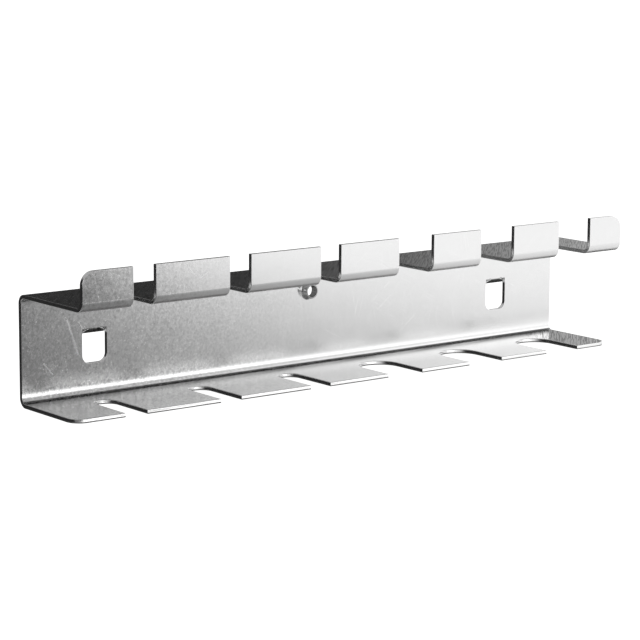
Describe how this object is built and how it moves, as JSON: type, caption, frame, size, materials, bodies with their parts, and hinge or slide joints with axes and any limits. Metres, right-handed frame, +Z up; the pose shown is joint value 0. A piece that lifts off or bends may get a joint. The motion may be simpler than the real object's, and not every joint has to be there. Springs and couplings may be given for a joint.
{
  "type": "screwdriver rack",
  "caption": "Folded galvanised steel rack with open slots and upturned lips that holds screwdrivers on a perforated tool panel.",
  "frame": {"origin": "middle of the back's rear face, the face that lies on the tool panel", "axes": "+X along the rack towards its wide slots, +Y through the back into the panel, +Z up towards the lips"},
  "size_m": [0.25, 0.0455, 0.0527],
  "materials": {
    "zinc_sheet": "hot-dip galvanised, bright zinc with faint streaks and scratches",
    "zinc_nut": "zinc plated, turned"
  },
  "bodies": {
    "root": {"rack_sheet": "zinc_sheet", "press_nut": "zinc_nut"}
  },
  "joints": []
}
